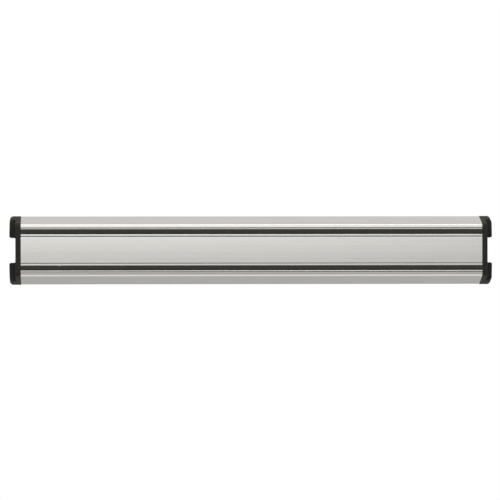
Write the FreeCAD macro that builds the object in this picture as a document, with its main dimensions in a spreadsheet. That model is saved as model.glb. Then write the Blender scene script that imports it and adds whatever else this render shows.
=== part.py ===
"""Magnetic knife rack: an aluminium rail for the wall, with ferrite magnets between two steel pole strips.

The rack hangs on two wall screws. X runs along it, Z is up, and the wall is the plane Y = 0 with the
knives on the -Y side. The origin is midway between the two hanging screws. Millimetres throughout.

The rail is one C-shaped extrusion, open at the front between its two lips. From each end slide in, behind
the lips, an upper and a lower pole strip. Ferrite blocks fill the space between the strips, and a cover
strip taped to the blocks closes the front. A push-fit cap at each end keeps everything in.
"""

import FreeCAD
import Part
import Sketcher

import math
import os
import re

# Every driving dimension, in millimetres, as (alias, value, meaning).
DIMENSIONS = [
    ("rack_length", 300, "over both end caps"),
    ("rack_depth", 20, "wall to the front of the pole strips"),
    ("back_half_height", 21.2, "half height at the wall"),
    ("front_half_height", 16.0, "half height where a flank would meet the front plane"),
    ("ridge_radius", 2.6, "between the front and a flank"),
    ("flank_wall", 1.65, "flank thickness, measured up and down"),
    ("back_wall", 1.8, "thickness against the wall"),
    ("back_edge_radius", 0.4, "where a flank meets the wall"),
    ("lip_half_gap", 12.6, "half the opening between the lips"),
    ("lip_thickness", 2.15, "front of the lip to the pole strip's foot"),
    ("bead_setback", 0.05, "beads behind the pole strips' front"),
    ("face_setback", 0.15, "edges of the cover strip's face behind the pole strips' front"),
    ("face_crown", 0.12, "rise of the cover strip's face at its middle"),
    ("groove_depth", 0.6, "decorative grooves"),
    ("groove_floor", 0.2, "width of a groove's floor"),
    ("groove_mouth", 0.5, "width of a groove at the surface"),
    ("lip_groove_height", 13.55, "centre of the groove in a lip"),
    ("cover_groove_height", 8.3, "centre of the groove in the cover strip"),
    ("bead_radius", 0.38, "rounding of the beads beside a pole strip"),
    ("groove_edge_radius", 0.15, "rounding of the beads beside a groove"),
    ("channel_half_height", 14.2, "outer wall of the pole strips' channel"),
    ("rib_half_height", 15.5, "outer side of the channel's wall"),
    ("rib_pocket_depth", 14.0, "front end of the pocket between rib and flank"),
    ("ledge_half_height", 11.5, "inner edge of the ledge behind a pole strip"),
    ("ledge_front", 9.5, "wall to the ledge's front"),
    ("ledge_back", 8.0, "wall to the ledge's back"),
    ("keyhole_spacing", 230, "between the two hanging screws"),
    ("keyhole_entry_radius", 4.5, "where the screw head goes in"),
    ("keyhole_slot_width", 4.6, "where the screw's shank hangs"),
    ("keyhole_drop", 8, "slot's top down to the entry's centre"),
    ("pole_inner_height", 9.95, "inner face of a pole strip"),
    ("pole_nose_width", 2.55, "visible edge of a pole strip"),
    ("pole_play", 0.05, "pole strip to the rail"),
    ("pole_edge_radius", 0.25, "rounding of the visible edge"),
    ("cover_half_height", 9.75, "half height of the cover strip"),
    ("cover_thickness", 1.5, "of the cover strip"),
    ("tape_thickness", 0.3, "of the double-sided tape"),
    ("tape_half_height", 9.2, "half height of the tape"),
    ("magnet_count", 14, "blocks in the row"),
    ("magnet_length", 17.5, "of one block along the rack"),
    ("magnet_pitch", 20, "block to block"),
    ("magnet_thickness", 8, "of one block, front to back"),
    ("magnet_chamfer", 0.5, "on a block's edges"),
    ("cap_proud", 0.1, "cap's outline outside the rail's"),
    ("cap_plate", 3.35, "thickness over the rail's end"),
    ("cap_ear", 3.95, "how far the ears stand out from the plate"),
    ("ear_depth", 8.6, "wall to the front of the ears"),
    ("notch_half_height", 7.75, "half height of the gap between the ears"),
    ("ear_corner_radius", 2.3, "outer corners of the ears"),
    ("notch_mouth_radius", 1.1, "ears' corners at the notch"),
    ("notch_root_radius", 1.1, "inner corners of the notch"),
    ("ear_draft", 0.35, "ears' end faces fall back towards their corners"),
    ("cap_edge_radius", 0.65, "rounding of the plate's outer rim and the ears' front edges"),
    ("core_wall", 1.3, "cap's wall round the cored-out back"),
    ("core_depth", 6.9, "of the cored-out back"),
    ("prong_length", 13, "that plugs into the rail"),
    ("prong_play", 0.15, "prong to the rail"),
    ("prong_inner_height", 11.2, "inner side of a prong"),
    ("prong_wall", 1.7, "thickness of a prong's walls"),
    ("prong_lead", 0.8, "chamfer at a prong's tip"),
    ("rib_width", 0.9, "of a crush rib on a prong"),
    ("rib_height", 0.1, "of a crush rib on a prong"),
    ("stop_length", 3.4, "block that keeps the magnets from sliding"),
    ("stop_play", 0.3, "magnet stop to the parts round it"),
]

doc = FreeCAD.newDocument("knife_rack")
dims = doc.addObject("Spreadsheet::Sheet", "dims")
for row, (alias, value, meaning) in enumerate(DIMENSIONS, start=1):
    dims.set(f"A{row}", alias)
    dims.set(f"B{row}", str(value))
    dims.set(f"C{row}", meaning)
    dims.setAlias(f"B{row}", alias)
doc.recompute()

ALIASES = re.compile(r"\b(" + "|".join(alias for alias, _, _ in DIMENSIONS) + r")\b")

# Lengths that several pieces share, as expressions on the sheet's cells.
RAIL_LENGTH = "(rack_length - 2 * (cap_plate + cap_ear))"
BEAD_FRONT = "(rack_depth - bead_setback)"
MAGNET_FRONT = "(rack_depth - face_setback - cover_thickness - tape_thickness)"
MAGNET_BACK = f"({MAGNET_FRONT} - magnet_thickness)"
LIP_BACK = f"({BEAD_FRONT} - lip_thickness)"
CAP_LENGTH = "(cap_plate + cap_ear)"
BEYOND_CAP = f"({CAP_LENGTH} + 1)"


def on_sheet(expression):
    """The expression with each alias written as a cell of the sheet."""
    return ALIASES.sub(r"dims.\1", str(expression))


def number(expression):
    """What an expression is worth now."""
    return float(dims.evalExpression(str(expression)))


def bind(thing, path, expression):
    thing.setExpression(path, on_sheet(expression))


def flank(depth, inset="0"):
    """Height of the flank's outer face, less an inset, at a distance from the wall."""
    return f"(back_half_height - (back_half_height - front_half_height) / rack_depth * ({depth}) - ({inset}))"


def new_body(label):
    body = doc.addObject("PartDesign::Body", label)
    body.Label = label
    return body


def origin_plane(body, role):
    return next(feature for feature in body.Origin.OriginFeatures if feature.Role == role)


def new_sketch(body, name, plane):
    sketch = body.newObject("Sketcher::SketchObject", name)
    sketch.AttachmentSupport = (origin_plane(body, plane), "")
    sketch.MapMode = "FlatFace"
    return sketch


def hold_point(sketch, edge, end, across, up):
    """Ties one end of a sketch edge to two expressions, or to an axis where one of them is 0."""
    for kind, axis, expression in (("DistanceX", -2, across), ("DistanceY", -1, up)):
        if expression == "0":
            sketch.addConstraint(Sketcher.Constraint("PointOnObject", edge, end, axis))
            continue
        tie = Sketcher.Constraint(kind, -1, 1, edge, end, number(expression))
        bind(sketch, f"Constraints[{sketch.addConstraint(tie)}]", expression)


def outline(body, name, plane, corners):
    """A closed sketch of straight edges whose corners are pairs of expressions."""
    sketch = new_sketch(body, name, plane)
    points = [FreeCAD.Vector(number(across), number(up), 0) for across, up in corners]
    for start, end in zip(points, points[1:] + points[:1]):
        sketch.addGeometry(Part.LineSegment(start, end))
    for edge in range(len(corners)):
        following = (edge + 1) % len(corners)
        sketch.addConstraint(Sketcher.Constraint("Coincident", edge, 2, following, 1))
    for edge, (across, up) in enumerate(corners):
        hold_point(sketch, edge, 1, across, up)
    return sketch


def hold_radius(sketch, edge, expression):
    tie = Sketcher.Constraint("Radius", edge, number(expression))
    bind(sketch, f"Constraints[{sketch.addConstraint(tie)}]", expression)


def circle(body, name, plane, across, up, radius):
    """A sketch of one circle about a point given by two expressions."""
    sketch = new_sketch(body, name, plane)
    middle = FreeCAD.Vector(number(across), number(up), 0)
    sketch.addGeometry(Part.Circle(middle, FreeCAD.Vector(0, 0, 1), number(radius)))
    hold_point(sketch, 0, 3, across, up)
    hold_radius(sketch, 0, radius)
    return sketch


def section(body, name, upper_half):
    """A section across the rack, symmetric about Z = 0, from (distance from the wall, height) pairs."""
    upper = [(f"-({depth})" if depth != "0" else "0", height) for depth, height in upper_half]
    lower = [(across, f"-({height})") for across, height in reversed(upper)]
    return outline(body, name, "YZ_Plane", upper + lower)


def rectangle(body, name, plane, left, right, bottom, top):
    return outline(body, name, plane, [(left, bottom), (right, bottom), (right, top), (left, top)])


def extrude(body, kind, sketch, length, centred=False, reverse=False):
    """A Pad or a Pocket of the sketch, and a check that it changed the body the right way."""
    before = body.Shape.Volume if body.Tip else 0
    feature = body.newObject(f"PartDesign::{kind}", f"{kind.lower()}_{sketch.Label}")
    feature.Profile = sketch
    bind(feature, "Length", length)
    feature.Midplane = centred
    feature.Reversed = reverse
    doc.recompute()
    grew = body.Shape.Volume - before
    if (grew <= 0) if kind == "Pad" else (grew >= 0):
        raise ValueError(f"{feature.Label} changed nothing in {body.Label}")
    return feature


def edges_where(body, wanted):
    """Names of the body's edges for which wanted(midpoint, direction) is true."""
    names = []
    for position, edge in enumerate(body.Shape.Edges, start=1):
        if edge.Degenerated:
            continue
        halfway = (edge.FirstParameter + edge.LastParameter) / 2
        if wanted(edge.valueAt(halfway), edge.tangentAt(halfway)):
            names.append(f"Edge{position}")
    return names


def dress(body, kind, names, size):
    """A Fillet or a Chamfer on named edges of the body as it is now."""
    if not names:
        raise ValueError(f"no edges to {kind.lower()} on {body.Label}")
    base = body.Tip
    feature = body.newObject(f"PartDesign::{kind}", f"{kind.lower()}_{size}")
    feature.Base = (base, names)
    bind(feature, "Radius" if kind == "Fillet" else "Size", size)
    doc.recompute()
    return feature


def mirrored(body, name, features, plane):
    """Repeats features on the other side of one of the body's origin planes."""
    other = body.newObject("PartDesign::Mirrored", name)
    other.Originals = features
    other.MirrorPlane = (origin_plane(body, plane), [""])
    body.Tip = other
    doc.recompute()


def near(value, expression, tolerance=0.02):
    return abs(value - number(expression)) < tolerance


def lengthwise_at(depth, height):
    """Picks the pair of edges along X at a distance from the wall and a height, above and below."""
    return lambda at, way: abs(way.x) > 0.99 and near(-at.y, depth) and near(abs(at.z), height)


def groove(front, centre):
    """Corners of a decorative groove, from its outer edge to its inner one."""
    half_mouth, half_floor = "groove_mouth / 2", "groove_floor / 2"
    return [
        (front, f"{centre} + {half_mouth}"),
        (f"{front} - groove_depth", f"{centre} + {half_floor}"),
        (f"{front} - groove_depth", f"{centre} - {half_floor}"),
        (front, f"{centre} - {half_mouth}"),
    ]


def rail_profile():
    """The C-shaped extrusion, with a keyhole for a hanging screw near each end of its back wall."""
    body = new_body("rail_profile")
    upper_half = [
        ("0", "back_half_height"),
        (BEAD_FRONT, flank(BEAD_FRONT)),
        *groove(BEAD_FRONT, "lip_groove_height"),
        (BEAD_FRONT, "lip_half_gap"),
        (LIP_BACK, "lip_half_gap"),
        (LIP_BACK, "channel_half_height"),
        ("ledge_front", "channel_half_height"),
        ("ledge_front", "ledge_half_height"),
        ("ledge_back", "ledge_half_height"),
        ("ledge_back", "rib_half_height"),
        ("rib_pocket_depth", "rib_half_height"),
        ("rib_pocket_depth", flank("rib_pocket_depth", "flank_wall")),
        ("back_wall", flank("back_wall", "flank_wall")),
    ]
    extrude(body, "Pad", section(body, "rail_section", upper_half), RAIL_LENGTH, centred=True)
    ridges = edges_where(body, lengthwise_at(BEAD_FRONT, flank(BEAD_FRONT)))
    dress(body, "Fillet", ridges, "ridge_radius")
    dress(body, "Fillet", edges_where(body, lengthwise_at(BEAD_FRONT, "lip_half_gap")), "bead_radius")
    beside_groove = "lip_groove_height - groove_mouth / 2"
    dress(body, "Fillet", edges_where(body, lengthwise_at(BEAD_FRONT, beside_groove)), "groove_edge_radius")
    dress(body, "Fillet", edges_where(body, lengthwise_at("0", "back_half_height")), "back_edge_radius")
    keyholes(body)
    return body


def keyholes(body):
    """Both keyholes: a round entry for the screw's head, and above it a slot for its shank."""
    middle, half_slot = "keyhole_spacing / 2", "keyhole_slot_width / 2"
    entry = circle(body, "keyhole_entry", "XZ_Plane", middle, "-keyhole_drop", "keyhole_entry_radius")
    slot_sides = (f"{middle} - {half_slot}", f"{middle} + {half_slot}")
    slot = rectangle(body, "keyhole_slot", "XZ_Plane", *slot_sides, "-keyhole_drop", "0")
    end = circle(body, "keyhole_end", "XZ_Plane", middle, "0", half_slot)
    cuts = [extrude(body, "Pocket", sketch, "4 * back_wall", centred=True) for sketch in (entry, slot, end)]
    mirrored(body, "other_keyhole", cuts, "YZ_Plane")


def cover_strip():
    """The face between the two pole strips, with a bead and a groove along each edge."""
    body = new_body("cover_strip")
    face = "(rack_depth - face_setback)"
    half_mouth = "groove_mouth / 2"
    upper_half = [
        (f"{face} - cover_thickness", "cover_half_height"),
        (BEAD_FRONT, "cover_half_height"),
        *groove(BEAD_FRONT, "cover_groove_height")[:3],
        (face, f"cover_groove_height - {half_mouth}"),
    ]
    # The half section starts at the back, so the lower half closes it there.
    extrude(body, "Pad", section(body, "cover_section", upper_half), RAIL_LENGTH, centred=True)
    dress(body, "Fillet", edges_where(body, lengthwise_at(BEAD_FRONT, "cover_half_height")), "bead_radius")
    beside_groove = f"cover_groove_height + {half_mouth}"
    dress(body, "Fillet", edges_where(body, lengthwise_at(BEAD_FRONT, beside_groove)), "groove_edge_radius")
    crown(body, face, f"(cover_groove_height - {half_mouth})")
    return body


def crown(body, face, half):
    """Adds the slight crown of the face, a segment of a circle on a chord of the given half height."""
    radius = f"(({half} ^ 2 + face_crown ^ 2) / (2 * face_crown))"
    upper = FreeCAD.Vector(-number(face), number(half), 0)
    lower = FreeCAD.Vector(-number(face), -number(half), 0)
    middle = FreeCAD.Vector(number(radius) - number(face) - number("face_crown"), 0, 0)
    lean = math.asin(number(half) / number(radius))
    curve = Part.Circle(middle, FreeCAD.Vector(0, 0, 1), number(radius))
    sketch = new_sketch(body, "crown_section", "YZ_Plane")
    sketch.addGeometry(Part.ArcOfCircle(curve, math.pi - lean, math.pi + lean))
    sketch.addGeometry(Part.LineSegment(lower, upper))
    sketch.addConstraint(Sketcher.Constraint("Coincident", 0, 2, 1, 1))
    sketch.addConstraint(Sketcher.Constraint("Coincident", 1, 2, 0, 1))
    hold_point(sketch, 1, 1, f"-{face}", f"-{half}")
    hold_point(sketch, 1, 2, f"-{face}", half)
    hold_radius(sketch, 0, radius)
    extrude(body, "Pad", sketch, RAIL_LENGTH, centred=True)


def cover_tape():
    """Double-sided tape between the cover strip and the magnets."""
    tape = doc.addObject("Part::Box", "cover_tape")
    row_length = "((magnet_count - 1) * magnet_pitch + magnet_length)"
    bind(tape, "Length", row_length)
    bind(tape, "Width", "tape_thickness")
    bind(tape, "Height", "2 * tape_half_height")
    bind(tape, "Placement.Base.x", f"-{row_length} / 2")
    bind(tape, "Placement.Base.y", f"-({MAGNET_FRONT} + tape_thickness)")
    bind(tape, "Placement.Base.z", "-tape_half_height")
    return tape


def pole_strip(label, side):
    """A steel strip whose nose shows at the front and whose foot sits behind the lip; side is 1 above."""
    body = new_body(label)
    nose_outer = "(pole_inner_height + pole_nose_width)"
    foot_front = f"({LIP_BACK} - pole_play)"
    foot_back = "(ledge_front + pole_play)"
    foot_outer = "(channel_half_height - pole_play)"
    corners = [
        ("-rack_depth", "pole_inner_height"),
        ("-rack_depth", nose_outer),
        (f"-{foot_front}", nose_outer),
        (f"-{foot_front}", foot_outer),
        (f"-{foot_back}", foot_outer),
        (f"-{foot_back}", "pole_inner_height"),
    ]
    corners = [(across, up if side > 0 else f"-({up})") for across, up in corners]
    sketch = outline(body, "pole_section", "YZ_Plane", corners)
    extrude(body, "Pad", sketch, RAIL_LENGTH, centred=True)
    front = edges_where(body, lambda at, way: abs(way.x) > 0.99 and near(-at.y, "rack_depth"))
    dress(body, "Fillet", front, "pole_edge_radius")
    return body


def magnet(index):
    """One ferrite block, magnetised up and down, between the pole strips."""
    body = new_body(f"magnet_{index + 1:02d}")
    half_length = "magnet_length / 2"
    sketch = rectangle(
        body,
        "magnet_face",
        "XZ_Plane",
        f"-{half_length}",
        half_length,
        "-pole_inner_height",
        "pole_inner_height",
    )
    extrude(body, "Pad", sketch, "magnet_thickness")
    edges = edges_where(body, lambda at, way: abs(way.y) > 0.99 or abs(way.z) > 0.99)
    dress(body, "Chamfer", edges, "magnet_chamfer")
    bind(body, "Placement.Base.x", f"({index} - (magnet_count - 1) / 2) * magnet_pitch")
    bind(body, "Placement.Base.y", f"-{MAGNET_BACK}")
    return body


def end_cap(label, side):
    """A moulded cap, drawn for the +X end from the rail's end face outwards; side is 1 for that end."""
    body = new_body(label)
    proud_back = "back_half_height + cap_proud"
    proud_front = flank("rack_depth", "-cap_proud")
    plate = section(body, "plate_section", [("0", proud_back), ("rack_depth", proud_front)])
    extrude(body, "Pad", plate, "cap_plate")
    dress(body, "Fillet", edges_where(body, lengthwise_at("rack_depth", proud_front)), "ridge_radius")
    rim = edges_where(body, lambda at, way: near(at.x, "cap_plate") and not near(at.y, "0"))
    dress(body, "Fillet", rim, "cap_edge_radius")
    ears = section(body, "ear_section", [("0", proud_back), ("ear_depth", flank("ear_depth", "-cap_proud"))])
    extrude(body, "Pad", ears, BEYOND_CAP)
    trim_ears(body)
    mirrored(body, "lower_half", [notch_root(body), core(body), prong(body)], "XY_Plane")
    lead_in(body)
    magnet_stop(body)
    seat = f"{RAIL_LENGTH} / 2"
    if side < 0:
        body.Placement.Rotation = FreeCAD.Rotation(FreeCAD.Vector(0, 1, 0), 180)
        seat = f"-{seat}"
    bind(body, "Placement.Base.x", seat)
    return body


def trim_ears(body):
    """Cuts the notch between the ears and the draft on their end faces, then rounds the ears."""
    reach = "(back_half_height + 1)"
    upper_half = [
        (BEYOND_CAP, reach),
        (f"{CAP_LENGTH} - ear_draft", reach),
        (CAP_LENGTH, "notch_half_height"),
        ("cap_plate", "notch_half_height"),
    ]
    lower_half = [(across, f"-{height}") for across, height in reversed(upper_half)]
    trim = outline(body, "trim", "XZ_Plane", upper_half + lower_half)
    extrude(body, "Pocket", trim, "3 * ear_depth", centred=True)
    outer = front_to_back("back_half_height - ear_corner_radius", "back_half_height + 1")
    dress(body, "Fillet", edges_where(body, outer), "ear_corner_radius")
    mouth = front_to_back("notch_half_height - 0.1", "notch_half_height + 0.1")
    dress(body, "Fillet", edges_where(body, mouth), "notch_mouth_radius")
    plate = number("cap_plate")
    front = edges_where(body, lambda at, way: near(-at.y, "ear_depth") and at.x > plate + 0.1)
    dress(body, "Fillet", front, "cap_edge_radius")


def front_to_back(low, high):
    """Picks the ears' edges that run front to back between two heights."""

    def wanted(at, way):
        on_ear = at.x > number("cap_plate") + 1
        return on_ear and abs(way.y) > 0.9 and number(low) < abs(at.z) < number(high)

    return wanted


def notch_root(body):
    """Fills the notch's upper inner corner to a concave radius."""
    plate, notch, radius = "cap_plate", "notch_half_height", "notch_root_radius"
    corner = FreeCAD.Vector(number(plate), number(notch), 0)
    on_ear = corner + FreeCAD.Vector(number(radius), 0, 0)
    on_plate = corner - FreeCAD.Vector(0, number(radius), 0)
    middle = on_ear - FreeCAD.Vector(0, number(radius), 0)
    curve = Part.Circle(middle, FreeCAD.Vector(0, 0, 1), number(radius))
    sketch = new_sketch(body, "root_upper", "XZ_Plane")
    sketch.addGeometry(Part.LineSegment(corner, on_ear))
    sketch.addGeometry(Part.ArcOfCircle(curve, math.pi / 2, math.pi))
    sketch.addGeometry(Part.LineSegment(on_plate, corner))
    for edge in range(3):
        sketch.addConstraint(Sketcher.Constraint("Coincident", edge, 2, (edge + 1) % 3, 1))
    hold_point(sketch, 0, 1, plate, notch)
    hold_point(sketch, 0, 2, f"{plate} + {radius}", notch)
    hold_point(sketch, 2, 1, plate, f"{notch} - {radius}")
    hold_radius(sketch, 1, radius)
    return extrude(body, "Pad", sketch, "ear_depth - cap_edge_radius")


def core(body):
    """Hollows the upper ear from the wall side, so that it is moulded with even walls."""
    low, high = "notch_half_height + core_wall", "back_half_height - ear_corner_radius"
    right = f"{CAP_LENGTH} - ear_draft - core_wall"
    sketch = rectangle(body, "core_upper", "XZ_Plane", "core_wall", right, low, high)
    return extrude(body, "Pocket", sketch, "2 * core_depth", centred=True)


def prong(body):
    """A C-shaped prong that plugs into the rail's rear channel, with a crush rib on its flank side."""
    front = "(ledge_back - prong_play)"
    back = "(back_wall + prong_play)"
    slot_front = f"({front} - prong_wall)"
    slot_back = f"({back} + prong_wall)"
    slot_outer = flank(slot_front, "flank_wall + prong_play + prong_wall")
    rib_middle = f"(({front} + {back}) / 2)"
    rib_front, rib_back = f"({rib_middle} + rib_width / 2)", f"({rib_middle} - rib_width / 2)"
    corners = [
        (back, "prong_inner_height"),
        (back, flank(back, "flank_wall + prong_play")),
        (rib_back, flank(rib_back, "flank_wall + prong_play")),
        (rib_middle, flank(rib_middle, "flank_wall + prong_play - rib_height")),
        (rib_front, flank(rib_front, "flank_wall + prong_play")),
        (front, flank(front, "flank_wall + prong_play")),
        (front, "prong_inner_height"),
        (slot_front, "prong_inner_height"),
        (slot_front, slot_outer),
        (slot_back, slot_outer),
        (slot_back, "prong_inner_height"),
    ]
    placed = [(f"-{depth}", height) for depth, height in corners]
    sketch = outline(body, "prong_upper", "YZ_Plane", placed)
    return extrude(body, "Pad", sketch, "prong_length", reverse=True)


def lead_in(body):
    """Chamfers the flank side of the prongs' tips."""

    def on_tip(at, way):
        return near(at.x, "-prong_length") and abs(way.y) > 0.9 and abs(at.z) > number("rib_half_height")

    dress(body, "Chamfer", edges_where(body, on_tip), "prong_lead")


def magnet_stop(body):
    """A short block behind the cover strip that ends just short of the magnet row."""
    half = "pole_inner_height - stop_play"
    stop = outline(
        body,
        "stop_section",
        "YZ_Plane",
        [
            (f"-({MAGNET_FRONT} - stop_play)", f"-({half})"),
            (f"-({MAGNET_BACK})", f"-({half})"),
            (f"-({MAGNET_BACK})", half),
            (f"-({MAGNET_FRONT} - stop_play)", half),
        ],
    )
    extrude(body, "Pad", stop, "stop_length", reverse=True)


def build():
    pieces = [rail_profile(), cover_strip(), cover_tape()]
    pieces += [pole_strip("pole_strip_upper", 1), pole_strip("pole_strip_lower", -1)]
    pieces += [magnet(index) for index in range(int(number("magnet_count")))]
    pieces += [end_cap("end_cap_left", -1), end_cap("end_cap_right", 1)]
    doc.recompute()
    return pieces


def check(pieces):
    failed = [o.Label for o in doc.Objects if {"Invalid", "Error"} & set(o.State)]
    if failed:
        raise ValueError(f"failed to recompute: {failed}")
    for piece in pieces:
        if piece.Shape.isNull() or not piece.Shape.isValid() or piece.Shape.Volume <= 0:
            raise ValueError(f"{piece.Label} has no valid shape")


def write(pieces):
    os.makedirs("parts", exist_ok=True)
    for piece in pieces:
        piece.Shape.exportStep(os.path.join("parts", f"{piece.Label}.step"))
        print(f"{piece.Label}: {piece.Shape.Volume:.1f} mm3")


all_pieces = build()
check(all_pieces)
write(all_pieces)
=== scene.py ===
"""Looks of a magnetic knife rack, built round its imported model.

Metres throughout. X runs along the rack, Z is up, the wall is the plane Y = 0 and the knives hang on
the -Y side.
"""

import math

import bmesh
import bpy
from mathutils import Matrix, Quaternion, Vector


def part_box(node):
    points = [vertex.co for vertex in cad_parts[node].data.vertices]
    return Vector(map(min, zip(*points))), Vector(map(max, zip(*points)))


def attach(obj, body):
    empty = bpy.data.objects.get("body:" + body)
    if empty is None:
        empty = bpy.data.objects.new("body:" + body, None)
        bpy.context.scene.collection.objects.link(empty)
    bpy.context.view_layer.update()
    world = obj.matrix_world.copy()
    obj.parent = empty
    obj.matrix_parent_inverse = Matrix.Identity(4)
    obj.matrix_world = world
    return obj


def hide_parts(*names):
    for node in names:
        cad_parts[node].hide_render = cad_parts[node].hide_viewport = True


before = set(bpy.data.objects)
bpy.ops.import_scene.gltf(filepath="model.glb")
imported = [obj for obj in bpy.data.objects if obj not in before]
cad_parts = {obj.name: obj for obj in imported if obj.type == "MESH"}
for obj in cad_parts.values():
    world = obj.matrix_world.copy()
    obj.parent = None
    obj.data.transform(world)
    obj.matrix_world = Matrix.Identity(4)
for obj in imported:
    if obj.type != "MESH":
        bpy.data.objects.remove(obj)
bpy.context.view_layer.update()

MM = 0.001

# Main lines of the rack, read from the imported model.
RAIL_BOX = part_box("rail_profile")
COVER_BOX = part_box("cover_strip")
POLE_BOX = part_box("pole_strip_upper")
CAP_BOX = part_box("end_cap_right")
FIRST_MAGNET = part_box("magnet_01")
SECOND_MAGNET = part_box("magnet_02")
MAGNET_NODES = sorted(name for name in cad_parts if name.startswith("magnet_"))
RAIL_LENGTH = RAIL_BOX[1].x - RAIL_BOX[0].x
RACK_DEPTH = -CAP_BOX[0].y
BEAD_FRONT = -RAIL_BOX[0].y
CAP_PROUD = 0.1 * MM
BACK_HALF_HEIGHT = CAP_BOX[1].z - CAP_PROUD

# The rail's section. Heights are from the middle of the rack and depths from the wall.
FLANK_SLOPE = 0.26
FLANK_WALL = 1.65 * MM
BACK_WALL = 1.8 * MM
RIDGE_RADIUS = 2.6 * MM
BACK_EDGE_RADIUS = 0.4 * MM
LIP_HALF_GAP = 12.6 * MM
LIP_THICKNESS = 2.15 * MM
LIP_BACK = BEAD_FRONT - LIP_THICKNESS
LIP_GROOVE_HEIGHT = 13.55 * MM
CHANNEL_HALF_HEIGHT = 14.2 * MM
RIB_HALF_HEIGHT = 15.5 * MM
RIB_POCKET_DEPTH = 14.0 * MM
LEDGE_HALF_HEIGHT = 11.5 * MM
LEDGE_FRONT = 9.5 * MM
LEDGE_BACK = 8.0 * MM
INNER_RADIUS = 0.3 * MM
POCKET_RADIUS = 0.15 * MM

# Beads and decorative grooves on the rail's lips and on the cover strip.
BEAD_RADIUS = 0.38 * MM
GROOVE_DEPTH = 0.6 * MM
GROOVE_MOUTH = 0.5 * MM
GROOVE_FLOOR = 0.2 * MM
GROOVE_FLOOR_RADIUS = 0.06 * MM
GROOVE_EDGE_RADIUS = 0.14 * MM
COVER_GROOVE_HEIGHT = 8.3 * MM
COVER_FACE_SETBACK = 0.15 * MM
COVER_FACE_EDGE_RADIUS = 0.07 * MM
COVER_CROWN = 0.12 * MM
CROWN_STEPS = 12

# Where painted shade darkens the grooves and their finish turns dull: how far behind the beads it starts,
# and over what depth.
GROOVE_SHADE_FROM = 0.16 * MM
GROOVE_SHADE_FADE = 0.2 * MM

# Pole strips.
POLE_NOSE_OUTER = 12.5 * MM
POLE_PLAY = 0.05 * MM
POLE_EDGE_RADIUS = 0.25 * MM

# Keyholes. The slots' tops are level with the middle of the rack.
KEYHOLE_COUNT = 2
KEYHOLE_SPACING = 230 * MM
KEYHOLE_ENTRY_RADIUS = 4.5 * MM
KEYHOLE_SLOT_WIDTH = 4.6 * MM
KEYHOLE_DROP = 8 * MM
KEYHOLE_SIDES = 64

# How finely shapes are drawn.
MAGNET_ROUNDING = 0.6 * MM
SHARP_ANGLE = math.radians(28)
ARC_STEP = math.radians(7.5)
SAME_POINT = 0.001 * MM
SLIVER = 0.005 * MM
FLAT_ANGLE = math.radians(0.6)

# Studio. Glow is (height, brightness), where height is 0 straight down, 0.5 level and 1 straight up.
WARM_WHITE = (1.0, 0.98, 0.94)
WHITE = (1.0, 1.0, 1.0)
GLOW_AHEAD = [
    (0.0, 0.95),
    (0.025, 0.86),
    (0.075, 0.6),
    (0.15, 0.44),
    (0.25, 0.38),
    (0.4, 0.4),
    (0.5, 0.46),
    (0.6, 0.58),
    (0.7, 0.75),
    (0.75, 0.8),
    (1.0, 0.72),
]
GLOW_BEHIND = [
    (0.0, 0.95),
    (0.035, 0.78),
    (0.1, 0.5),
    (0.25, 0.47),
    (0.5, 0.46),
    (0.75, 0.7),
    (0.9, 0.6),
    (0.965, 0.6),
    (1.0, 0.72),
]
GLOW_TURN = [(0.47, 0.0), (0.53, 1.0)]
FLOOR_DROP = 0.2
FLOOR_REACH = 1.6
FLOOR_BEHIND = 0.6
CAMERA_PLACE = Vector((-0.106, -2.46, -0.038))
CAMERA_TARGET = Vector((-0.0013, -RACK_DEPTH, -0.00015))
CAMERA_LENS_MM = 284.7
CAMERA_SENSOR_MM = 36
CAMERA_ROLL = math.radians(-0.1)


# ---------------------------------------------------------------- node trees


class Socket:
    """A node's output that arithmetic can be written on; each operation adds a Math node."""

    def __init__(self, tree, socket):
        self.tree = tree
        self.socket = socket

    def __add__(self, other):
        return self.tree.maths("ADD", self, other)

    __radd__ = __add__

    def __mul__(self, other):
        return self.tree.maths("MULTIPLY", self, other)

    __rmul__ = __mul__

    def __sub__(self, other):
        return self.tree.maths("SUBTRACT", self, other)

    def __rsub__(self, other):
        return self.tree.maths("SUBTRACT", other, self)

    def __neg__(self):
        return self * -1.0


class Tree:
    """A shader or geometry node tree, built one call at a time."""

    def __init__(self, group):
        self.group = group

    def add(self, kind, inputs=None, output=0, **settings):
        """Adds a node: its settings first, then its inputs as values, sockets or lists of sockets."""
        node = self.group.nodes.new(kind)
        for name, value in settings.items():
            if name == "stops":
                self.lay(node.color_ramp.elements, value)
            else:
                setattr(node, name, value)
        for key, value in (inputs or {}).items():
            for each in value if isinstance(value, list) else [value]:
                if isinstance(each, Socket):
                    self.group.links.new(each.socket, node.inputs[key])
                else:
                    node.inputs[key].default_value = each
        return Socket(self, node.outputs[output]) if node.outputs else None

    def lay(self, elements, stops):
        """Sets a ramp's elements to (place, grey) stops."""
        for place, _ in stops[len(elements) :]:
            elements.new(place)
        for element, (place, grey) in zip(elements, stops):
            element.position = place
            element.color = (grey, grey, grey, 1)

    def maths(self, operation, *values):
        return self.add("ShaderNodeMath", dict(enumerate(values)), operation=operation)

    def ramp(self, factor, stops):
        """Grey along a factor, from (place, grey) stops."""
        return self.add("ShaderNodeValToRGB", {0: factor}, stops=stops)


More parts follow.
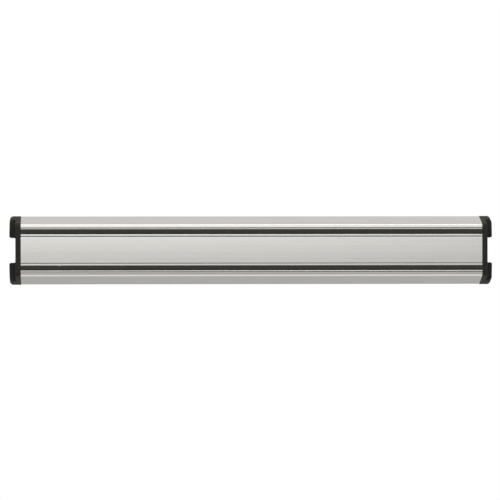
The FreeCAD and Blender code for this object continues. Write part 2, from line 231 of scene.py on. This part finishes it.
class Shape(Tree):
    """A geometry node tree with named inputs, run on an object and then made into a plain mesh."""

    def __init__(self, name, sizes):
        super().__init__(bpy.data.node_groups.new(name, "GeometryNodeTree"))
        face = self.group.interface
        face.new_socket(name="Geometry", in_out="INPUT", socket_type="NodeSocketGeometry")
        face.new_socket(name="Geometry", in_out="OUTPUT", socket_type="NodeSocketGeometry")
        self.sizes = {}
        for size, value in sizes.items():
            kind = "NodeSocketInt" if isinstance(value, int) else "NodeSocketFloat"
            made = face.new_socket(name=size, in_out="INPUT", socket_type=kind)
            self.sizes[made.identifier] = value

    def given(self, name="Geometry"):
        return self.add("NodeGroupInput", output=name)

    def vector(self, x=0.0, y=0.0, z=0.0):
        return self.add("ShaderNodeCombineXYZ", {0: x, 1: y, 2: z})

    def moved(self, geometry, by, turned=(0, 0, 0)):
        inputs = {"Geometry": geometry, "Translation": by, "Rotation": turned}
        return self.add("GeometryNodeTransform", inputs)

    def merged(self, geometry, distance):
        return self.add("GeometryNodeMergeByDistance", {"Geometry": geometry, "Distance": distance})

    def realized(self, geometry):
        return self.add("GeometryNodeRealizeInstances", {0: geometry})

    def row(self, geometry, count, pitch):
        """Repeats the geometry along X, centred on the origin."""
        first = self.vector((count - 1) * pitch * -0.5)
        offsets = {"Count": count, "Start Location": first, "Offset": self.vector(pitch)}
        points = self.add("GeometryNodeMeshLine", offsets, mode="OFFSET")
        placed = {"Points": points, "Instance": geometry}
        return self.realized(self.add("GeometryNodeInstanceOnPoints", placed))

    def run(self, piece, geometry, material):
        """Ends the tree with the geometry in its material, and makes the result the piece's own mesh."""
        painted = {"Geometry": self.realized(geometry), "Material": material}
        self.add("NodeGroupOutput", {0: self.add("GeometryNodeSetMaterial", painted)})
        modifier = piece.modifiers.new("shape", "NODES")
        modifier.node_group = self.group
        for identifier, value in self.sizes.items():
            modifier[identifier] = value
        evaluated = piece.evaluated_get(bpy.context.evaluated_depsgraph_get())
        mesh = bpy.data.meshes.new_from_object(evaluated)
        piece.modifiers.clear()
        piece.data = mesh
        return piece


# ---------------------------------------------------------------- finishes


class Finish(Tree):
    """A material round one Principled shader; constants go straight on its sockets."""

    def __init__(self, name, **constants):
        self.material = bpy.data.materials.new(name)
        self.material.use_nodes = True
        super().__init__(self.material.node_tree)
        self.shader = self.group.nodes["Principled BSDF"]
        for socket, value in constants.items():
            self.shader.inputs[socket].default_value = value

    def wear(self, colour, roughness=None, relief=None):
        """Gives the shader what varies over the surface, and hands back the finished material."""
        made = {"Base Color": colour, "Roughness": roughness, "Normal": relief}
        for socket, value in made.items():
            if value is not None:
                self.group.links.new(value.socket, self.shader.inputs[socket])
        return self.material

    def noise(self, scale, detail=3.0, roughness=0.5, seed=0.0):
        """Noise whose grain has the given number of cycles per metre along each axis."""
        at = self.add("ShaderNodeTexCoord", output="Object")
        spread = self.add("ShaderNodeMapping", {"Vector": at, "Scale": scale})
        inputs = {"Vector": spread, "W": seed, "Scale": 1.0, "Detail": detail, "Roughness": roughness}
        return self.add("ShaderNodeTexNoise", inputs, noise_dimensions="4D")

    def tint(self, factor, first, second):
        """Mixes two colours, each an RGB triple or a socket."""
        colours = (shade if isinstance(shade, Socket) else (*shade, 1) for shade in (first, second))
        inputs = dict(zip((0, 6, 7), (factor, *colours)))
        return self.add("ShaderNodeMix", inputs, 2, data_type="RGBA")

    def groove_shade_and_dullness(self):
        """1 on surfaces of the rack's front that lie behind its beads and face, such as groove walls:
        where painted shade darkens the colour and the finish turns duller.
        """
        at = self.add("ShaderNodeTexCoord", output="Object")
        depth = -self.add("ShaderNodeSeparateXYZ", {0: at}, "Y")
        height = self.add("ShaderNodeSeparateXYZ", {0: at}, "Z")
        start = BEAD_FRONT - GROOVE_SHADE_FROM
        fade = {"Value": depth, "From Min": start, "From Max": start - GROOVE_SHADE_FADE}
        behind = self.add("ShaderNodeMapRange", fade)
        ahead = self.maths("GREATER_THAN", depth, LIP_BACK)
        outermost = LIP_GROOVE_HEIGHT + GROOVE_MOUTH / 2
        inner = self.maths("LESS_THAN", self.maths("ABSOLUTE", height), outermost)
        return behind * ahead * inner

    def relief(self, height, distance, strength):
        return self.add("ShaderNodeBump", {"Height": height, "Distance": distance, "Strength": strength})


def shaded(colour, by):
    """A colour made darker by a factor."""
    return tuple(by * part for part in colour)


def anodised_aluminium(name, shade, seed):
    """Satin anodised extrusion: fine die lines along X, and grooves with a duller finish and painted shade
    darkening their colour.
    """
    finish = Finish(name, Metallic=1.0)
    fine = finish.noise((6, 5200, 5200), detail=2.0, seed=seed)
    broad = finish.noise((3, 620, 620), detail=3.0, seed=seed + 3)
    cloud = finish.noise((45, 45, 45), detail=4.0, seed=seed + 5)
    # Mask of the grooves: painted shade in the colour, and a duller finish in the roughness.
    groove_shade_and_dullness = finish.groove_shade_and_dullness()
    tone = finish.ramp(fine * 0.3 + broad * 0.5 + cloud * 0.2, [(0.35, 0.0), (0.65, 1.0)])
    clean = finish.tint(tone, shaded(shade, 0.9), shade)
    return finish.wear(
        # Painted shade: the grooves' colour is darkened to 0.3 of the metal's.
        finish.tint(groove_shade_and_dullness, clean, shaded(shade, 0.3)),
        fine * 0.1 + broad * 0.14 + cloud * 0.08 + groove_shade_and_dullness * 0.3 + 0.16,
        finish.relief(fine * 0.7 + broad * 0.3, 0.012 * MM, 0.8),
    )


def blackened_steel():
    """Black coated strip steel with a satin sheen and faint rub marks from blades."""
    finish = Finish("blackened_steel", IOR=1.5)
    rolled = finish.noise((20, 3000, 3000), detail=3.0)
    rubs = finish.noise((160, 900, 900), detail=4.0, seed=2.0)
    worn = finish.ramp(rubs, [(0.5, 0.0), (0.75, 1.0)])
    return finish.wear(
        finish.tint(worn, (0.017, 0.0165, 0.0148), (0.031, 0.03, 0.0275)),
        rolled * 0.16 + rubs * 0.14 + 0.3,
        finish.relief(rolled, 0.01 * MM, 0.6),
    )


def moulded_black():
    """Black moulded plastic with a fine spark-eroded grain."""
    finish = Finish("moulded_black", IOR=1.38)
    grain = finish.noise((4200, 4200, 4200), detail=2.0)
    flow = finish.noise((130, 130, 130), detail=3.0, seed=1.0)
    return finish.wear(
        finish.tint(flow, (0.0115, 0.0112, 0.0105), (0.0165, 0.0161, 0.015)),
        grain * 0.16 + flow * 0.16 + 0.42,
        finish.relief(grain, 0.02 * MM, 0.7),
    )


def ground_ferrite():
    """Sintered ferrite: dark grey, dull, with ground faces and tiny pits."""
    finish = Finish("ground_ferrite", IOR=1.6)
    grinding = finish.noise((1500, 60, 2600), detail=3.0)
    pits = finish.noise((1900, 1900, 1900), detail=5.0, roughness=0.7, seed=4.0)
    pitted = finish.ramp(pits, [(0.36, 0.0), (0.5, 1.0)])
    return finish.wear(
        finish.tint(pitted, (0.022, 0.022, 0.024), (0.085, 0.085, 0.09)),
        grinding * 0.2 + 0.5,
        finish.relief(grinding * 0.4 + pits * 0.6, 0.05 * MM, 0.7),
    )


def foam_tape():
    """White double-sided foam tape, faintly mottled."""
    finish = Finish("foam_tape", IOR=1.4)
    cells = finish.noise((3500, 3500, 3500), detail=2.0)
    return finish.wear(
        finish.tint(cells, (0.68, 0.67, 0.62), (0.84, 0.83, 0.79)),
        cells * 0.2 + 0.55,
        finish.relief(cells, 0.03 * MM, 0.6),
    )


def pale_floor():
    """Matt and pale, very slightly uneven."""
    finish = Finish("pale_floor", Roughness=0.8)
    mottle = finish.noise((4, 4, 4))
    return finish.wear(finish.tint(mottle, (0.8, 0.8, 0.8), (0.83, 0.83, 0.83)))


# ---------------------------------------------------------------- outlines


def arc(start, centre, sweep):
    """Points from the start round the centre through an angle, both ends included."""
    steps = max(2, round(abs(sweep) / ARC_STEP))
    spoke = start - centre
    points = []
    for step in range(steps + 1):
        turn = sweep * step / steps
        cos, sin = math.cos(turn), math.sin(turn)
        points.append(centre + Vector((spoke.x * cos - spoke.y * sin, spoke.x * sin + spoke.y * cos)))
    return points


def rounded(corners):
    """Points of a closed outline from (y, z, radius) corners, each radius drawn as an arc."""
    points = []
    for index, (y, z, radius) in enumerate(corners):
        corner = Vector((y, z))
        if not radius:
            points.append(corner)
            continue
        before = (Vector(corners[index - 1][:2]) - corner).normalized()
        after = (Vector(corners[(index + 1) % len(corners)][:2]) - corner).normalized()
        half_angle = before.angle(after) / 2
        reach = radius / math.tan(half_angle)
        start, end = corner + before * reach, corner + after * reach
        centre = corner + (before + after).normalized() * radius / math.sin(half_angle)
        points.extend(arc(start, centre, -(start - centre).angle_signed(end - centre)))
    return points


def both_halves(upper):
    """A section symmetric about Z = 0 from its upper half's (distance from the wall, height, radius)."""
    lower = [(-depth, -height, radius) for depth, height, radius in reversed(upper)]
    return [(-depth, height, radius) for depth, height, radius in upper] + lower


def flank(depth, inset=0.0):
    """Height of the flank's outer face, less an inset, at a distance from the wall."""
    return BACK_HALF_HEIGHT - FLANK_SLOPE * depth - inset


def groove(centre):
    """Corners of a decorative groove, from its outer edge to its inner one."""
    half_mouth, half_floor, floor_depth = GROOVE_MOUTH / 2, GROOVE_FLOOR / 2, BEAD_FRONT - GROOVE_DEPTH
    return [
        (BEAD_FRONT, centre + half_mouth, 0),
        (floor_depth, centre + half_floor, GROOVE_FLOOR_RADIUS),
        (floor_depth, centre - half_floor, GROOVE_FLOOR_RADIUS),
        (BEAD_FRONT, centre - half_mouth, GROOVE_EDGE_RADIUS),
    ]


def rail_outline():
    return both_halves(
        [
            (0, BACK_HALF_HEIGHT, BACK_EDGE_RADIUS),
            (BEAD_FRONT, flank(BEAD_FRONT), RIDGE_RADIUS),
            *groove(LIP_GROOVE_HEIGHT),
            (BEAD_FRONT, LIP_HALF_GAP, BEAD_RADIUS),
            (LIP_BACK, LIP_HALF_GAP, 0),
            (LIP_BACK, CHANNEL_HALF_HEIGHT, 0),
            (LEDGE_FRONT, CHANNEL_HALF_HEIGHT, 0),
            (LEDGE_FRONT, LEDGE_HALF_HEIGHT, 0),
            (LEDGE_BACK, LEDGE_HALF_HEIGHT, 0),
            (LEDGE_BACK, RIB_HALF_HEIGHT, INNER_RADIUS),
            (RIB_POCKET_DEPTH, RIB_HALF_HEIGHT, POCKET_RADIUS),
            (RIB_POCKET_DEPTH, flank(RIB_POCKET_DEPTH, FLANK_WALL), POCKET_RADIUS),
            (BACK_WALL, flank(BACK_WALL, FLANK_WALL), INNER_RADIUS),
        ]
    )


def cover_outline():
    """Section of the cover strip, with a bead and a groove at each edge of its crowned face."""
    back, half_height = -COVER_BOX[1].y, COVER_BOX[1].z
    face, face_half_height = RACK_DEPTH - COVER_FACE_SETBACK, COVER_GROOVE_HEIGHT - GROOVE_MOUTH / 2
    groove_edge, *groove_floor, _ = groove(COVER_GROOVE_HEIGHT)
    crown = []
    for step in range(1, CROWN_STEPS):
        outward = 1 - step / CROWN_STEPS
        crown.append((face + COVER_CROWN * (1 - outward**2), face_half_height * outward, 0))
    return both_halves(
        [
            (back, half_height, 0),
            (BEAD_FRONT, half_height, BEAD_RADIUS),
            (*groove_edge[:2], GROOVE_EDGE_RADIUS),
            *groove_floor,
            (face, face_half_height, COVER_FACE_EDGE_RADIUS),
            *crown,
        ]
    )


def pole_outline(side):
    """Section of a pole strip, whose side is 1 above the cover strip and -1 below."""
    inner, outer = POLE_BOX[0].z, POLE_BOX[1].z
    front, foot_front, back = -RACK_DEPTH, -(LIP_BACK - POLE_PLAY), POLE_BOX[1].y
    corners = [
        (front, inner, POLE_EDGE_RADIUS),
        (front, POLE_NOSE_OUTER, POLE_EDGE_RADIUS),
        (foot_front, POLE_NOSE_OUTER, 0),
        (foot_front, outer, 0),
        (back, outer, 0),
        (back, inner, 0),
    ]
    return [(y, side * z, radius) for y, z, radius in corners]


# ---------------------------------------------------------------- pieces


def new_piece(name, mesh):
    piece = bpy.data.objects.new(name, mesh)
    bpy.context.scene.collection.objects.link(piece)
    return piece


def section_piece(name, corners):
    """A flat face across the rack at X = 0, turned towards +X."""
    points = rounded(corners)
    area = sum(a.x * b.y - b.x * a.y for a, b in zip(points, points[1:] + points[:1]))
    if area < 0:
        points.reverse()
    mesh = bpy.data.meshes.new(name)
    mesh.from_pydata([(0, point.x, point.y) for point in points], [], [range(len(points))])
    return new_piece(name, mesh)


def settle(piece, body, slot, *nodes):
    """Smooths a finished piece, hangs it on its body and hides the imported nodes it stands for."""
    piece.data.shade_smooth()
    piece.data.set_sharp_from_angle(angle=SHARP_ANGLE)
    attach(piece, body)
    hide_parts(*nodes)


def extrusion(shape):
    """The given section drawn out along X to the tree's length, closed at both ends."""
    length = shape.given("Length")
    start = shape.moved(shape.given(), shape.vector(length * -0.5))
    drawn = {"Mesh": start, "Offset": shape.vector(1.0), "Offset Scale": length, "Individual": False}
    sides = shape.add("GeometryNodeExtrudeMesh", drawn, mode="FACES")
    cap = shape.add("GeometryNodeFlipFaces", {"Mesh": start})
    return shape.merged(shape.add("GeometryNodeJoinGeometry", {0: [sides, cap]}), SAME_POINT)


def keyhole_tools(shape):
    """What cuts one keyhole: a round entry, a slot above it and the slot's round end."""
    radius, width, drop = (shape.given(name) for name in ("Entry Radius", "Slot Width", "Drop"))
    depth = shape.given("Cut Depth")
    turned = (math.pi / 2, math.pi / KEYHOLE_SIDES, 0)
    bore = {"Vertices": KEYHOLE_SIDES, "Depth": depth}
    entry = shape.add("GeometryNodeMeshCylinder", {**bore, "Radius": radius})
    end = shape.add("GeometryNodeMeshCylinder", {**bore, "Radius": width * 0.5})
    slot = shape.add("GeometryNodeMeshCube", {"Size": shape.vector(width, depth, drop)})
    return [
        shape.moved(entry, shape.vector(0.0, 0.0, -drop), turned),
        shape.moved(slot, shape.vector(0.0, 0.0, drop * -0.5)),
        shape.moved(end, shape.vector(), turned),
    ]


def bar(name, corners, material):
    """A section drawn out to the rail's length, with nothing cut in it."""
    shape = Shape(name + "_shape", {"Length": RAIL_LENGTH})
    return shape.run(section_piece(name, corners), extrusion(shape), material)


def rail():
    """The C-shaped extrusion, with two keyholes through its back wall."""
    sizes = {
        "Length": RAIL_LENGTH,
        "Spacing": KEYHOLE_SPACING,
        "Entry Radius": KEYHOLE_ENTRY_RADIUS,
        "Slot Width": KEYHOLE_SLOT_WIDTH,
        "Drop": KEYHOLE_DROP,
        "Cut Depth": 3 * BACK_WALL,
        "Keyholes": KEYHOLE_COUNT,
    }
    shape = Shape("rail_shape", sizes)
    count, spacing = shape.given("Keyholes"), shape.given("Spacing")
    tools = [shape.row(tool, count, spacing) for tool in keyhole_tools(shape)]
    cut = {"Mesh 1": extrusion(shape), "Mesh 2": tools}
    bored = shape.add("GeometryNodeMeshBoolean", cut, operation="DIFFERENCE", solver="EXACT")
    aluminium = anodised_aluminium("rail_aluminium", (0.905, 0.9, 0.895), 0.0)
    piece = shape.run(section_piece("rail", rail_outline()), shape.merged(bored, SLIVER), aluminium)
    settle(piece, "rack", "rail_aluminium", "rail_profile")


def cover():
    aluminium = anodised_aluminium("cover_aluminium", (0.925, 0.92, 0.915), 7.0)
    settle(bar("cover", cover_outline(), aluminium), "rack", "cover_aluminium", "cover_strip")


def pole_strips():
    steel = blackened_steel()
    for name, side in (("upper", 1), ("lower", -1)):
        piece = bar(f"pole_{name}", pole_outline(side), steel)
        settle(piece, "rack", "pole_steel", f"pole_strip_{name}")


def magnet_block():
    """One ferrite block with worn-round edges, in the middle of the rack."""
    low, high = FIRST_MAGNET
    middle = (low + high) / 2
    block = bmesh.new()
    bmesh.ops.create_cube(block, size=1)
    bmesh.ops.scale(block, vec=high - low, verts=block.verts)
    worn = {"offset": MAGNET_ROUNDING, "segments": 3, "profile": 0.4, "affect": "EDGES"}
    bmesh.ops.bevel(block, geom=block.edges, **worn)
    bmesh.ops.translate(block, vec=(0, middle.y, middle.z), verts=block.verts)
    mesh = bpy.data.meshes.new("magnets")
    block.to_mesh(mesh)
    block.free()
    return mesh


def magnets():
    """The row of ferrite blocks between the pole strips."""
    pitch = SECOND_MAGNET[0].x - FIRST_MAGNET[0].x
    shape = Shape("magnet_row", {"Count": len(MAGNET_NODES), "Pitch": pitch})
    blocks = shape.row(shape.given(), shape.given("Count"), shape.given("Pitch"))
    piece = shape.run(new_piece("magnets", magnet_block()), blocks, ground_ferrite())
    settle(piece, "rack", "ferrite", *MAGNET_NODES)


def cover_tape():
    """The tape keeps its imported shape, a flat strip."""
    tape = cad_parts["cover_tape"]
    tape.data.materials.clear()
    tape.data.materials.append(foam_tape())


def end_caps():
    """Both caps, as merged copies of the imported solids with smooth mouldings."""
    plastic = moulded_black()
    for side in ("left", "right"):
        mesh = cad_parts[f"end_cap_{side}"].data.copy()
        form = bmesh.new()
        form.from_mesh(mesh)
        bmesh.ops.remove_doubles(form, verts=form.verts, dist=SAME_POINT)
        bmesh.ops.dissolve_limit(form, angle_limit=FLAT_ANGLE, verts=form.verts, edges=form.edges)
        form.to_mesh(mesh)
        form.free()
        mesh.materials.clear()
        mesh.materials.append(plastic)
        settle(new_piece(f"cap_{side}", mesh), f"cap_{side}", "cap_plastic", f"end_cap_{side}")


# ---------------------------------------------------------------- studio


def facing(place, target):
    """The rotation that turns a lamp or a camera at a place towards its target."""
    return (target - place).to_track_quat("-Z", "Y")


def held(name, data, place, rotation):
    holder = new_piece(name, data)
    holder.location = place
    holder.rotation_euler = rotation.to_euler()
    return holder


def camera():
    """Nearly square on to the front: a little left of the middle and a little low."""
    lens = bpy.data.cameras.new("camera")
    lens.sensor_width = CAMERA_SENSOR_MM
    lens.lens = CAMERA_LENS_MM
    tilt = Quaternion((0, 0, 1), CAMERA_ROLL)
    rotation = facing(CAMERA_PLACE, CAMERA_TARGET) @ tilt
    bpy.context.scene.camera = held("camera", lens, CAMERA_PLACE, rotation)


def softbox(name, place, target, size, power):
    """A soft rectangular lamp; its size is in metres and its power in watts."""
    lamp = bpy.data.lights.new(name, "AREA")
    lamp.shape = "RECTANGLE"
    lamp.size, lamp.size_y = size
    lamp.energy = power
    lamp.color = WARM_WHITE
    held(name, lamp, place, facing(Vector(place), Vector(target)))


def surroundings():
    """White to the eye; for everything else, bright above and below, and dim level with the rack."""
    world = bpy.data.worlds.new("studio")
    bpy.context.scene.world = world
    world.use_nodes = True
    world.node_tree.nodes.clear()
    tree = Tree(world.node_tree)
    way = tree.add("ShaderNodeTexCoord", output="Generated")
    behind, up = (tree.add("ShaderNodeSeparateXYZ", {0: way}, axis) * 0.5 + 0.5 for axis in "YZ")
    ahead_glow, behind_glow = (tree.ramp(up, glow) for glow in (GLOW_AHEAD, GLOW_BEHIND))
    glow = ahead_glow + (behind_glow - ahead_glow) * tree.ramp(behind, GLOW_TURN)
    lit = tree.add("ShaderNodeBackground", {"Color": (*WARM_WHITE, 1), "Strength": glow})
    seen = tree.add("ShaderNodeBackground", {"Color": (*WHITE, 1), "Strength": 1.0})
    eye = tree.add("ShaderNodeLightPath", output="Is Camera Ray")
    both = tree.add("ShaderNodeMixShader", {0: eye, 1: lit, 2: seen})
    tree.add("ShaderNodeOutputWorld", {"Surface": both})


def floor():
    """A pale floor below the rack, kept out of its reflections."""
    mesh = bpy.data.meshes.new("floor")
    outline = [
        (-FLOOR_REACH, -FLOOR_REACH),
        (FLOOR_REACH, -FLOOR_REACH),
        (FLOOR_REACH, FLOOR_BEHIND),
        (-FLOOR_REACH, FLOOR_BEHIND),
    ]
    mesh.from_pydata([(x, y, -FLOOR_DROP) for x, y in outline], [], [(0, 1, 2, 3)])
    mesh.materials.append(pale_floor())
    ground = new_piece("floor", mesh)
    ground.visible_glossy = False


def studio():
    """A broad lamp ahead and above, a strip lamp overhead, a soft sky, the floor and the camera."""
    bpy.context.scene.view_settings.view_transform = "Standard"
    surroundings()
    softbox("key", place=(-0.43, -1.6, 0.46), target=(-0.43, 0, 0.46), size=(1.54, 0.92), power=2.3)
    softbox("top", place=(0.0, -0.5, 1.2), target=(0, 0, 0), size=(1.6, 0.25), power=2.4)
    floor()
    camera()


rail()
cover()
pole_strips()
magnets()
cover_tape()
end_caps()
studio()
